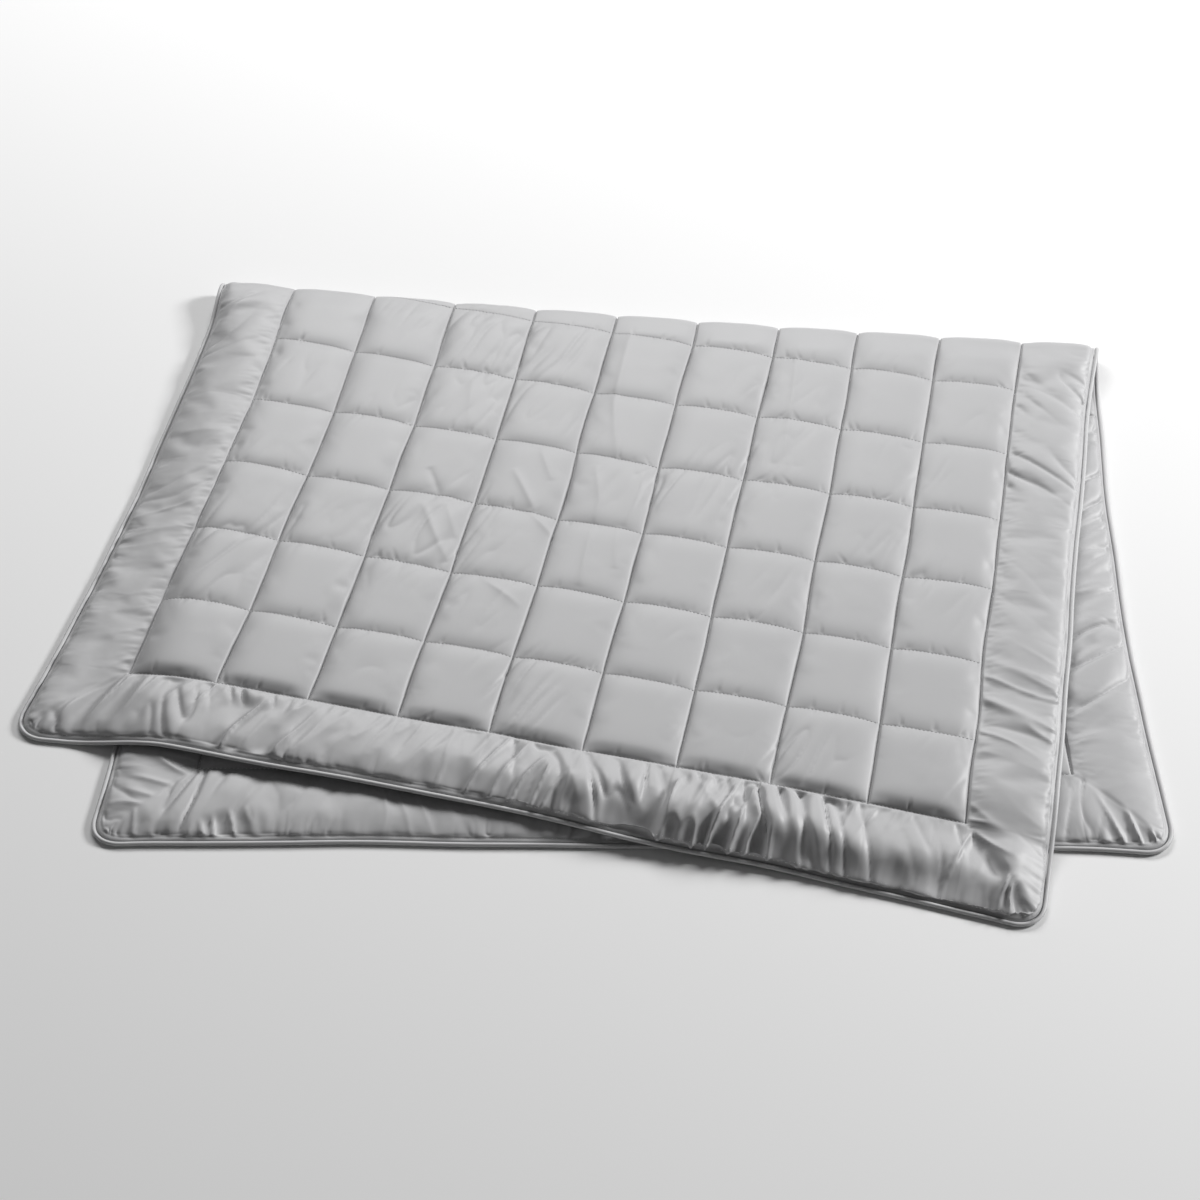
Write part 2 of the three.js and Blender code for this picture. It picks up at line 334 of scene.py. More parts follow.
def rounded(u, v):
    """Flat points drawn in towards the squares at the four corners, so that the outline is rounded there."""
    heart_u = np.where(u < WIDTH / 2, BORDER, WIDTH - BORDER)
    heart_v = np.where(v < LENGTH / 2, BORDER, LENGTH - BORDER)
    reach_u = u - heart_u
    reach_v = v - heart_v
    in_corner = ((u < BORDER) | (u > WIDTH - BORDER)) & ((v < BORDER) | (v > LENGTH - BORDER))
    far = np.maximum(np.maximum(np.abs(reach_u), np.abs(reach_v)), 1e-9)
    a = np.abs(reach_u) * BORDER / far
    b = np.abs(reach_v) * BORDER / far
    centre = BORDER - CORNER_RADIUS
    p = np.maximum(a**2 + b**2, 1e-12)
    q = centre * (a + b)
    inside = np.maximum(q**2 - p * (2 * centre**2 - CORNER_RADIUS**2), 0)
    on_arc = np.minimum(a, b) > centre
    scale = np.where(on_arc, (q + np.sqrt(inside)) / p, 1)
    share = (far / BORDER) ** 2
    factor = np.where(in_corner, mixed(1, scale, share), 1)
    return heart_u + reach_u * factor, heart_v + reach_v * factor


# The two faces of the cover.
# The cloth of each face is laid on its side of the folded middle, and both end in the seam of the piping.
# Each square is raised at least to the mean profile of the puffed squares, and is shallower at its cross
# seams. The border is heaped up at the front right, where it leans out over the piping.
CREASE_HALF = 1.6 * MM
RIM_HALF = 1.3 * MM
RIM_REACH = 14 * MM
OUTER_RISE = 1.0
INNER_RISE = 0.7
SQUARE_RISE = 1.35
SQUARE_LIMIT = 12 * MM
BORDER_RISE = 0.85
BORDER_LIMIT = 16 * MM
RIM_FULLNESS = 0.35
FRONT_HEAP = 1.5
HEAP_STARTS = 0.3
HEAP_WHOLE = 0.7
FRONT_CREST = 46 * MM
FRONT_CREST_REACH = 34 * MM
EDGE_OVERHANG = 3 * MM
FRONT_OVERHANG = 11 * MM
OVERHANG_AT = 15 * MM
OVERHANG_REACH = 7 * MM
RIM_LINES = 4
RIM_CREST = 16 * MM
FOLD_PRESSED = 0.5
CROSS_SEAM_DEPTH = 0.5
CROSS_SEAM_SLOPE = 16 * MM
CROSS_SEAM_REACH = 28 * MM
SQUARE_SHOULDER = 20 * MM
SEAM_CREASE = 0.8
FLOOR_SOFTNESS = 1.2 * MM
HIDDEN_OFFSETS = (3, 8, 13, 18, 23)
FINE_PAST_FOLD = 60 * MM


def mesh_lines(cells, pitch, steps):
    """Each mesh line's place, its lattice index and whether it is kept where the cloth is hidden."""
    lattice = cloth_lines(cells, pitch, steps, True)
    seams = BORDER_STEPS + steps * np.arange(cells + 1)
    lines = []
    for index, place in enumerate(lattice):
        offset = (index - BORDER_STEPS) % steps
        if index in seams:
            lines.append((place - CREASE_HALF, index - 0.5, True))
            lines.append((place, index, True))
            lines.append((place + CREASE_HALF, index + 0.5, True))
        else:
            in_border = index < seams[0] or index > seams[-1]
            lines.append((place, index, in_border or offset in HIDDEN_OFFSETS))
        if index < RIM_LINES or len(lattice) - 2 - RIM_LINES < index < len(lattice) - 1:
            lines.append(((place + lattice[index + 1]) / 2, index + 0.5, True))
    return lines


def sampled(moves, u_index, v_index):
    """The cloth's moves at lattice indices that may lie halfway between two lines."""
    u_low = np.floor(u_index).astype(int)
    v_low = np.floor(v_index).astype(int)
    u_high = np.ceil(u_index).astype(int)
    v_high = np.ceil(v_index).astype(int)
    u_share = (u_index - u_low)[:, None, None]
    v_share = (v_index - v_low)[None, :, None]
    low = mixed(moves[np.ix_(u_low, v_low)], moves[np.ix_(u_high, v_low)], u_share)
    high = mixed(moves[np.ix_(u_low, v_high)], moves[np.ix_(u_high, v_high)], u_share)
    return mixed(low, high, v_share)


def face_points(lines_u, lines_v, moves, side):
    """The points of one face of the folded cover, with side 1 for the outer face and -1 for the inner one."""
    u, v = np.meshgrid([line[0] for line in lines_u], [line[0] for line in lines_v], indexing="ij")
    moved = sampled(moves, np.array([line[1] for line in lines_u]), np.array([line[1] for line in lines_v]))
    place_u, place_v = rounded(u, v)

    corner_u = BORDER - np.minimum(u, WIDTH - u)
    corner_v = BORDER - np.minimum(v, LENGTH - v)
    from_edge = BORDER - np.maximum(corner_u, corner_v)
    centres = BORDER_STEPS + ROW_STEPS // 2 + ROW_STEPS * np.arange(ROWS)
    crown = sampled(moves, np.array([line[1] for line in lines_u]), centres)[..., 2].mean(1, keepdims=True)
    from_cross = np.mod(v - BORDER + ROW_PITCH / 2, ROW_PITCH) - ROW_PITCH / 2
    valley = crown * (1 - CROSS_SEAM_DEPTH * np.exp(-np.abs(from_cross) / CROSS_SEAM_SLOPE))
    near_cross = np.exp(-((from_cross / CROSS_SEAM_REACH) ** 2))
    near_cross *= smoothstep(from_edge, BORDER, BORDER + SQUARE_SHOULDER)
    full = np.maximum(moved[..., 2], crown * smoothstep(from_edge, BORDER, BORDER + SQUARE_SHOULDER))
    puff = mixed(full, valley, near_cross)
    share = np.where(from_edge > BORDER, SQUARE_RISE, BORDER_RISE)
    limit = np.where(from_edge > BORDER, SQUARE_LIMIT, BORDER_LIMIT)
    rise = (OUTER_RISE if side > 0 else INNER_RISE) * limit * np.tanh(share * puff / limit)
    near_fold = FOLD_HALF_ARC + FOLD_SQUEEZE_REACH
    rise *= mixed(FOLD_PRESSED, 1, smoothstep(np.abs(past_fold(u, v)), FOLD_HALF_ARC, near_fold))

    heap = smoothstep(u, HEAP_STARTS * WIDTH, HEAP_WHOLE * WIDTH)
    heap = heap * smoothstep(BORDER - v, 0, HEAP_STARTS * BORDER) * (side > 0)
    at_rim = np.exp(-(((from_edge - RIM_CREST) / RIM_CREST) ** 2))
    at_crest = np.exp(-(((from_edge - FRONT_CREST) / FRONT_CREST_REACH) ** 2))
    rise *= 1 + RIM_FULLNESS * (1 - heap) * at_rim + FRONT_HEAP * heap * at_crest
    overhang = mixed(EDGE_OVERHANG, FRONT_OVERHANG, heap)
    overhang = overhang * np.exp(-(((from_edge - OVERHANG_AT) / OVERHANG_REACH) ** 2))
    out_u = np.maximum(corner_u, 0) * np.sign(u - WIDTH / 2)
    out_v = np.maximum(corner_v, 0) * np.sign(v - LENGTH / 2)
    overhang /= np.maximum(np.hypot(out_u, out_v), 1 * MM)
    half = mixed(RIM_HALF, SEAM_HALF, smoothstep(from_edge, 0, RIM_REACH)) + rise
    points = middle(place_u + moved[..., 0] + out_u * overhang, place_v + moved[..., 1] + out_v * overhang)
    points += side * half[..., None] * outward(place_u, place_v)
    height = points[..., 2]
    points[..., 2] = (height + np.sqrt(height**2 + FLOOR_SOFTNESS**2)) / 2
    return points, np.stack([u + moved[..., 0], v + moved[..., 1]], -1)


def lattice_faces(numbers, side):
    """Four-sided faces over a lattice of vertex numbers."""
    corners = [numbers[:-1, :-1], numbers[1:, :-1], numbers[1:, 1:], numbers[:-1, 1:]]
    if side < 0:
        corners = [corners[0], corners[3], corners[2], corners[1]]
    return np.stack(corners, -1).reshape(-1, 4).tolist()


def side_faces(outer, inner, outer_index, inner_index, reverse):
    """Faces that close the rim along one side, between the two faces' lines."""
    shared = sorted(set(outer_index) & set(inner_index))
    faces = []
    for start, end in zip(shared[:-1], shared[1:]):
        first = [n for n, index in zip(outer, outer_index) if start <= index <= end]
        second = [n for n, index in zip(inner, inner_index) if start <= index <= end]
        loop = first + second[::-1]
        faces.append(loop[::-1] if reverse else loop)
    return faces


def sharpen_seams(mesh, lines):
    """Crease the mesh edges that lie on a seam, given the lattice indices of every vertex."""
    ends = np.empty(2 * len(mesh.edges), np.int32)
    mesh.edges.foreach_get("vertices", ends)
    ends = lines[ends.reshape(-1, 2)]
    crease = np.zeros(len(mesh.edges), np.float32)
    sizes = [(COLUMNS, COLUMN_STEPS), (ROWS, ROW_STEPS)]
    for axis in (0, 1):
        cells, steps = sizes[axis]
        other_cells, other_steps = sizes[1 - axis]
        across = ends[..., axis]
        along = ends[..., 1 - axis] - BORDER_STEPS
        on_seam = (across[:, 0] == across[:, 1]) & ((across[:, 0] - BORDER_STEPS) % steps == 0)
        in_squares = (across[:, 0] >= BORDER_STEPS) & (across[:, 0] <= BORDER_STEPS + cells * steps)
        between = (along.min(1) >= 0) & (along.max(1) <= other_cells * other_steps)
        crease[on_seam & in_squares & between] = SEAM_CREASE
    mesh.attributes.new("crease_edge", "FLOAT", "EDGE").data.foreach_set("value", crease)


def folded_cover(moves):
    """The whole closed cover as one mesh, with the flat place of each point in its UV map."""
    turned = moves[::-1, ::-1] * (-1, -1, 1)
    whole_v = 2 * BORDER_STEPS + ROWS * ROW_STEPS + 1
    outer_moves = np.concatenate([moves, turned[:, -(whole_v - moves.shape[1]) :]], axis=1)
    inner_moves = outer_moves[::-1] * (-1, 1, 1)

    lines_u = mesh_lines(COLUMNS, COLUMN_PITCH, COLUMN_STEPS)
    lines_v = mesh_lines(ROWS, ROW_PITCH, ROW_STEPS)
    fold_reach = FOLD_SLOPE * WIDTH / 2 + FINE_PAST_FOLD
    outer_v = [line for line in lines_v if line[2] or line[0] < FOLD_AT + fold_reach]
    inner_v = [line for line in lines_v if line[2] or line[0] > FOLD_AT - fold_reach]
    outer_points, outer_flat = face_points(lines_u, outer_v, outer_moves, 1)
    inner_points, inner_flat = face_points(lines_u, inner_v, inner_moves, -1)

    outer = np.arange(outer_points[..., 0].size).reshape(outer_points.shape[:2])
    inner = outer.size + np.arange(inner_points[..., 0].size).reshape(inner_points.shape[:2])
    faces = lattice_faces(outer, 1) + lattice_faces(inner, -1)
    columns = [line[1] for line in lines_u]
    outer_rows = [line[1] for line in outer_v]
    inner_rows = [line[1] for line in inner_v]
    faces += side_faces(outer[0], inner[0], outer_rows, inner_rows, False)
    faces += side_faces(outer[-1], inner[-1], outer_rows, inner_rows, True)
    faces += side_faces(outer[:, 0], inner[:, 0], columns, columns, True)
    faces += side_faces(outer[:, -1], inner[:, -1], columns, columns, False)

    mesh = bpy.data.meshes.new("duvet_cover")
    points = np.concatenate([outer_points.reshape(-1, 3), inner_points.reshape(-1, 3)])
    mesh.from_pydata(points.tolist(), [], faces)
    flat = np.concatenate([outer_flat.reshape(-1, 2), inner_flat.reshape(-1, 2)])
    corners = np.empty(len(mesh.loops), np.int32)
    mesh.loops.foreach_get("vertex_index", corners)
    mesh.uv_layers.new(name="flat").data.foreach_set("uv", flat[corners].astype(np.float32).ravel())
    mesh.validate()
    facing = np.repeat([1.0, -1.0], [outer.size, inner.size])
    place = np.column_stack([flat, facing]).astype(np.float32)
    mesh.attributes.new("flat_place", "FLOAT_VECTOR", "POINT").data.foreach_set("vector", place.ravel())

    outer_lines = np.stack(np.meshgrid(columns, outer_rows, indexing="ij"), -1).reshape(-1, 2)
    inner_lines = np.stack(np.meshgrid(columns, inner_rows, indexing="ij"), -1).reshape(-1, 2)
    sharpen_seams(mesh, np.concatenate([outer_lines, inner_lines]))
    return mesh


cover = bpy.data.objects.new("duvet_cover", folded_cover(puffed_cloth()))
scene.collection.objects.link(cover)
bpy.context.view_layer.objects.active = cover
cover.select_set(True)
smoother = cover.modifiers.new("smooth", "SUBSURF")
smoother.levels = 1
smoother.render_levels = 1
bpy.ops.object.modifier_apply(modifier=smoother.name)
bpy.ops.object.shade_smooth()
cover.select_set(False)


# The creases of the cloth.
# Cloth gathered into a seam or into the piping stands in sharp creases with round folds between them. The
# borders have the most spare cloth, so theirs run all the way across; those of the squares are short.
# The folds in the two lists are given as height and half width in mm and the places they pass.
DOWN_GROOVE = 3.0 * MM
CROSS_GROOVE = 0.3 * MM
GROOVE_HALF = 0.8 * MM
DITCH = 5.2 * MM
DITCH_DEPTH = 0.9 * MM
DITCH_HALF = 1.5 * MM

SIDE_FOLD_HEIGHT = 4.4 * MM
SIDE_FOLD_SPACING = 9.0 * MM / FIELD_STEP
SIDE_FOLD_LENGTH = 52 * MM / FIELD_STEP
SIDE_LEAN = 0.65
END_FOLD_HEIGHT = 6.0 * MM
END_FOLD_SPACING = 7.5 * MM / FIELD_STEP
END_FOLD_LENGTH = 42 * MM / FIELD_STEP
END_LEAN = 0.32
PATCH_REACH = 48 * MM / FIELD_STEP
GATHER_HEIGHT = 2.7 * MM
GATHER_SPACING = 3.2 * MM / FIELD_STEP
GATHER_LENGTH = 13 * MM / FIELD_STEP
GATHER_REACH = 13 * MM
SEAM_GATHER = 0.8
FAINT_HEIGHT = 1.05 * MM
FAINT_SPACING = 7 * MM / FIELD_STEP
FAINT_LENGTH = 32 * MM / FIELD_STEP
FAINT_TURN = 1.25

PUCKERS_ACROSS = 4.2
PUCKERS_ALONG = 0.9
PUCKER_DEPTH = 1.5 * MM
PUCKER_LENGTH = 14 * MM
PUCKER_HALF = 2.0 * MM
MITRE_DEPTH = 0.9 * MM
MITRE_HALF = 1.9 * MM
MITRE_BLEND = 12 * MM
FOLD_SOFTNESS = 1.25
FOLD_BLUNT = 0.3
CREASE_SHARPNESS = 1.7

LONG_FOLDS = (
    (2.9, 5.0, (634, 936), (640, 781), (667, 654)),
    (2.4, 4.5, (638, 629), (656, 562), (658, 518)),
    (2.6, 4.5, (714, 663), (701, 522)),
    (2.4, 4.0, (658, 505), (663, 391)),
    (2.2, 4.0, (694, 520), (705, 436)),
    (2.2, 4.5, (890, 960), (901, 783), (908, 692)),
    (2.6, 4.0, (522, 593), (573, 518)),
    (2.1, 3.5, (553, 646), (580, 585)),
    (2.6, 4.0, (560, 522), (607, 482)),
    (2.7, 4.5, (411, 499), (455, 425), (473, 400)),
    (2.1, 4.0, (444, 505), (473, 446)),
    (-2.6, 3.5, (404, 568), (431, 516)),
    (1.6, 5.0, (420, 776), (437, 661)),
    (1.9, 4.0, (524, 379), (594, 335)),
)
BORDER_FOLDS = (
    (3.0, 6.0, (10, 790), (52, 884)),
    (2.0, 6.0, (16, 564), (100, 581)),
    (-3.0, 4.0, (1236, 276), (1318, 262)),
    (4.0, 5.0, (701, 104), (745, 25)),
    (-4.5, 4.0, (640, 110), (663, 15)),
    (-6.0, 5.0, (848, 112), (850, 20)),
    (4.5, 5.0, (870, 108), (948, 10)),
    (-4.0, 4.0, (917, 104), (939, 19)),
    (4.0, 5.0, (1026, 75), (1064, 10)),
    (-2.2, 5.0, (1229, 107), (1243, 30)),
    (-2.5, 5.0, (1150, 80), (1175, 20)),
)

creasing = np.random.default_rng(12)


def creased(hills):
    """Round folds between sharp creases, from 0 in a crease to 1 on a fold."""
    return 1 - np.exp(-CREASE_SHARPNESS * np.abs(hills))


def add_pucker(field, u, v, run_u, run_v, depth, length, half):
    """Press one short crease into the field, from a place on a seam in the direction given."""
    reach = int((length + 4 * half) / FIELD_STEP)
    first_u = max(int(u / FIELD_STEP) - reach, 0)
    first_v = max(int(v / FIELD_STEP) - reach, 0)
    patch = field[first_u : first_u + 2 * reach, first_v : first_v + 2 * reach]
    grid_u = (first_u + np.arange(patch.shape[0]))[:, None] * FIELD_STEP - u
    grid_v = (first_v + np.arange(patch.shape[1]))[None, :] * FIELD_STEP - v
    along = grid_u * run_u + grid_v * run_v
    across = (grid_v * run_u - grid_u * run_v) / half
    fade = smoothstep(along, 0, 3 * MM) * np.clip(1 - along / length, 0, 1) ** 1.3
    patch -= depth * fade * (1 - 0.9 * across**2) * np.exp(-(across**2))


def seam_puckers(field):
    """Short creases along both sides of every seam of the squares, longest on a square's front side."""
    for column in range(COLUMNS + 1):
        for row in range(ROWS + 1):
            seam_u = BORDER + column * COLUMN_PITCH
            seam_v = BORDER + row * ROW_PITCH
            for side in (-1, 1):
                if column < COLUMNS:
                    for place in creasing.uniform(0.06, 0.94, creasing.poisson(PUCKERS_ACROSS)):
                        size = creasing.uniform(0.5, 1.1 if side < 0 else 1.9)
                        lean = creasing.normal(0, 0.35)
                        depth = PUCKER_DEPTH * (0.5 + 0.5 * size)
                        half = PUCKER_HALF * (0.7 + 0.3 * size)
                        run_u = math.sin(lean)
                        run_v = side * math.cos(lean)
                        start_u = seam_u + place * COLUMN_PITCH
                        add_pucker(field, start_u, seam_v, run_u, run_v, depth, PUCKER_LENGTH * size, half)
                if row < ROWS:
                    for place in creasing.uniform(0.06, 0.94, creasing.poisson(PUCKERS_ALONG)):
                        size = creasing.uniform(0.3, 0.9)
                        lean = creasing.normal(0, 0.35)
                        depth = PUCKER_DEPTH * (0.1 + 0.4 * size)
                        half = PUCKER_HALF * (0.7 + 0.3 * size)
                        run_u = side * math.cos(lean)
                        run_v = math.sin(lean)
                        start_v = seam_v + place * ROW_PITCH
                        add_pucker(field, seam_u, start_v, run_u, run_v, depth, PUCKER_LENGTH * size, half)


def add_folds(field, folds):
    """Raise or press long folds into the field, each with a sharp back and ends that fade out."""
    for height, half, *places in folds:
        places = np.array(places) * MM
        half = FOLD_SOFTNESS * half * MM
        low = np.maximum(((places.min(0) - 5 * half) / FIELD_STEP).astype(int), 0)
        high = ((places.max(0) + 5 * half) / FIELD_STEP).astype(int)
        patch = field[low[0] : high[0], low[1] : high[1]]
        grid_u = (low[0] + np.arange(patch.shape[0]))[:, None] * FIELD_STEP
        grid_v = (low[1] + np.arange(patch.shape[1]))[None, :] * FIELD_STEP
        lengths = np.linalg.norm(np.diff(places, axis=0), axis=1)
        raised = np.zeros(patch.shape)
        for part, (start, end) in enumerate(zip(places[:-1], places[1:])):
            run = (end - start) / lengths[part]
            along = np.clip((grid_u - start[0]) * run[0] + (grid_v - start[1]) * run[1], 0, lengths[part])
            away = np.hypot(grid_u - start[0] - along * run[0], grid_v - start[1] - along * run[1])
            share = (lengths[:part].sum() + along) / lengths.sum()
            ends = (4 * share * (1 - share)) ** 0.5
            raised = np.maximum(raised, ends * np.exp(-np.hypot(away / half, FOLD_BLUNT)))
        patch += height * MM * raised


def crease_field(folds):
    """How far the creases and folds move one face of the flat cloth in or out."""
    u = np.arange(FIELD_SHAPE[0])[:, None] * FIELD_STEP
    v = np.arange(FIELD_SHAPE[1])[None, :] * FIELD_STEP
    side = np.minimum(u, WIDTH - u)
    end = np.minimum(v, LENGTH - v)
    edge = np.minimum(side, end)
    from_seam = BORDER - edge
    strip = smoothstep(edge, 0.8 * DITCH, 2 * DITCH) * smoothstep(from_seam, 0, 8 * MM)

    steep = waves(creasing, FIELD_SHAPE, SIDE_FOLD_LENGTH, SIDE_FOLD_SPACING, SIDE_LEAN)
    level = waves(creasing, FIELD_SHAPE, SIDE_FOLD_LENGTH, SIDE_FOLD_SPACING, SIDE_LEAN / 2)
    patches = waves(creasing, FIELD_SHAPE, PATCH_REACH, PATCH_REACH)
    sides = mixed(creased(steep) - 0.6, 0.4 - creased(level), smoothstep(patches, -0.3, 0.7))
    sides = np.where(u < WIDTH / 2, sides, sides[::-1])
    strength = waves(creasing, FIELD_SHAPE, PATCH_REACH, PATCH_REACH)
    sides *= SIDE_FOLD_HEIGHT * np.clip(0.75 + 0.7 * strength, 0.1, 1.7)

    left = waves(creasing, FIELD_SHAPE, END_FOLD_SPACING, END_FOLD_LENGTH, END_LEAN)
    right = waves(creasing, FIELD_SHAPE, END_FOLD_SPACING, END_FOLD_LENGTH, -END_LEAN)
    patches = waves(creasing, FIELD_SHAPE, PATCH_REACH, PATCH_REACH)
    ends = mixed(creased(left) - 0.6, 0.4 - creased(right), smoothstep(patches, -0.4, 0.4))
    strength = waves(creasing, FIELD_SHAPE, PATCH_REACH, PATCH_REACH)
    ends *= END_FOLD_HEIGHT * np.clip(0.8 + 0.6 * strength, 0.3, 1.7)
    ends *= 0.8 + 0.9 * smoothstep(u, 0.3 * WIDTH, 0.7 * WIDTH)
    field = mixed(sides, ends, smoothstep(side - end, -MITRE_BLEND, MITRE_BLEND)) * strip

    faint = creased(waves(creasing, FIELD_SHAPE, FAINT_LENGTH, FAINT_SPACING, FAINT_TURN)) - 0.6
    faint *= FAINT_HEIGHT * np.clip(waves(creasing, FIELD_SHAPE, 25, 25), 0, 2)
    field += faint * smoothstep(-from_seam, 0, 10 * MM)

    side_gathers = waves(creasing, FIELD_SHAPE, GATHER_LENGTH, GATHER_SPACING, 0.15)
    end_gathers = waves(creasing, FIELD_SHAPE, GATHER_SPACING, GATHER_LENGTH)
    gathers = creased(np.where(side < end, side_gathers, end_gathers)) - 0.6
    near = np.exp(-edge / GATHER_REACH) * np.clip(0.8 + waves(creasing, FIELD_SHAPE, 20, 20), 0.2, 2.5)
    near += SEAM_GATHER * np.exp(-np.abs(from_seam) / GATHER_REACH)
    field += GATHER_HEIGHT * gathers * near * strip

    from_mitre = np.abs(side - end) / math.sqrt(2)
    field -= MITRE_DEPTH * strip * np.exp(-((from_mitre / MITRE_HALF) ** 2))
    seam_puckers(field)
    add_folds(field, folds)
    return field * smoothstep(edge, 0, DITCH)


def groove(u, v):
    """How deep the seams of the squares and the stitched ditch beside the piping are at each flat place."""
    across = u - BORDER - COLUMN_PITCH * np.clip(np.rint((u - BORDER) / COLUMN_PITCH), 0, COLUMNS)
    along = v - BORDER - ROW_PITCH * np.clip(np.rint((v - BORDER) / ROW_PITCH), 0, ROWS)
    in_columns = (u > BORDER - GROOVE_HALF) & (u < WIDTH - BORDER + GROOVE_HALF)
    in_rows = (v > BORDER - GROOVE_HALF) & (v < LENGTH - BORDER + GROOVE_HALF)
    down = DOWN_GROOVE * np.exp(-((across / GROOVE_HALF) ** 2)) * in_rows
    cross = CROSS_GROOVE * np.exp(-((along / GROOVE_HALF) ** 2)) * in_columns
    edge = np.minimum(np.minimum(u, WIDTH - u), np.minimum(v, LENGTH - v))
    ditch = DITCH_DEPTH * np.exp(-(((edge - DITCH) / DITCH_HALF) ** 2))
    return np.maximum(np.maximum(down, cross), ditch)


def crease_cover(mesh):
    """Move the cover's points in or out along their normals by the creases of their own face."""
    points = np.empty(3 * len(mesh.vertices), np.float32)
    normals = np.empty_like(points)
    places = np.empty_like(points)
    mesh.vertices.foreach_get("co", points)
    mesh.vertices.foreach_get("normal", normals)
    mesh.attributes["flat_place"].data.foreach_get("vector", places)
    u, v, facing = places.reshape(-1, 3).T
    outer = crease_field(LONG_FOLDS + BORDER_FOLDS)
    inner = crease_field(())
    moves = np.where(facing > 0, read_off(outer, u, v), read_off(inner, u, v))
    moves *= mixed(FOLD_PRESSED, 1, smoothstep(np.abs(past_fold(u, v)), FOLD_HALF_ARC, 3 * FOLD_HALF_ARC))
    moves = (moves - groove(u, v)) * np.clip(np.abs(facing), 0, 1)
    points = points.reshape(-1, 3) + normals.reshape(-1, 3) * moves[:, None]
    points[:, 2] = np.maximum(points[:, 2], 0.05 * MM)
    mesh.vertices.foreach_set("co", points.astype(np.float32).ravel())
    mesh.attributes.remove(mesh.attributes["flat_place"])
    mesh.update()


crease_cover(cover.data)

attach(cover, "root")
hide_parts("quilted_body")


# The sateen cloth.
# Fine cotton satin in light grey: long floating threads give it a soft sheen, and the grey is a little
# uneven. The weave is a fine relief that follows the flat cloth, and it isn't seen from far off.
SATEEN_GREY = (0.475, 0.475, 0.48, 1)
SATEEN_SHADE = (0.435, 0.435, 0.442, 1)
THREADS_PER_METRE = 2600


def woven_group():
    """A node group that turns flat places into a fine weave's height and a slow change of shade."""
    group = bpy.data.node_groups.new("Fine weave", "ShaderNodeTree")
    group.interface.new_socket("Flat place", in_out="INPUT", socket_type="NodeSocketVector")
    group.interface.new_socket("Threads", in_out="INPUT", socket_type="NodeSocketFloat")
    group.interface.new_socket("Height", in_out="OUTPUT", socket_type="NodeSocketFloat")
    group.interface.new_socket("Shade", in_out="OUTPUT", socket_type="NodeSocketFloat")
    nodes = group.nodes
    links = group.links
    given = nodes.new("NodeGroupInput")
    made = nodes.new("NodeGroupOutput")

    scaled = nodes.new("ShaderNodeVectorMath")
    scaled.operation = "SCALE"
    links.new(given.outputs["Flat place"], scaled.inputs[0])
    links.new(given.outputs["Threads"], scaled.inputs["Scale"])
    warp = nodes.new("ShaderNodeTexWave")
    warp.bands_direction = "X"
    warp.inputs["Scale"].default_value = 0.16
    warp.inputs["Distortion"].default_value = 0.6
    weft = nodes.new("ShaderNodeTexWave")
    weft.bands_direction = "Y"
    weft.inputs["Scale"].default_value = 0.16
    weft.inputs["Distortion"].default_value = 0.6
    links.new(scaled.outputs[0], warp.inputs["Vector"])
    links.new(scaled.outputs[0], weft.inputs["Vector"])
    woven = nodes.new("ShaderNodeMath")
    woven.operation = "MULTIPLY"
    links.new(warp.outputs["Fac"], woven.inputs[0])
    links.new(weft.outputs["Fac"], woven.inputs[1])
    links.new(woven.outputs[0], made.inputs["Height"])

    slow = nodes.new("ShaderNodeTexNoise")
    slow.inputs["Scale"].default_value = 9
    slow.inputs["Detail"].default_value = 4
    links.new(given.outputs["Flat place"], slow.inputs["Vector"])
    links.new(slow.outputs["Fac"], made.inputs["Shade"])
    return group


weave = woven_group()


def cloth_material(name, light, shade, roughness, sheen, bump):
    """A woven cloth whose pattern lies on the piece's flat UV map."""
    material = bpy.data.materials.new(name)
    material.use_nodes = True
    nodes = material.node_tree.nodes
    links = material.node_tree.links
    surface = nodes["Principled BSDF"]
    flat = nodes.new("ShaderNodeUVMap")
    flat.uv_map = "flat"
    woven = nodes.new("ShaderNodeGroup")
    woven.node_tree = weave
    woven.inputs["Threads"].default_value = THREADS_PER_METRE
    links.new(flat.outputs["UV"], woven.inputs["Flat place"])
    colour = nodes.new("ShaderNodeMix")
    colour.data_type = "RGBA"
    colour.inputs[6].default_value = light
    colour.inputs[7].default_value = shade
    links.new(woven.outputs["Shade"], colour.inputs[0])
    links.new(colour.outputs[2], surface.inputs["Base Color"])
    relief = nodes.new("ShaderNodeBump")
    relief.inputs["Strength"].default_value = bump
    relief.inputs["Distance"].default_value = 0.05 * MM
    links.new(woven.outputs["Height"], relief.inputs["Height"])
    links.new(relief.outputs["Normal"], surface.inputs["Normal"])
    surface.inputs["Roughness"].default_value = roughness
    surface.inputs["Specular IOR Level"].default_value = 0.6
    surface.inputs["Sheen Weight"].default_value = sheen
    surface.inputs["Sheen Roughness"].default_value = 0.4
    return material


sateen = cloth_material("Grey sateen", SATEEN_GREY, SATEEN_SHADE, 0.5, 0.25, 0.4)
cover.data.materials.append(sateen)

# The piping.
# A cord in a tube of paler satin, cut on the bias, is sewn into the edge all round the duvet. The tube is a
# little uneven where the bias cloth draws round the cord.
PIPING_SIDES = 12
PIPING_UNEVEN = 0.25 * MM
PIPING_LIGHT = (0.55, 0.55, 0.555, 1)
PIPING_SHADE = (0.5, 0.5, 0.505, 1)


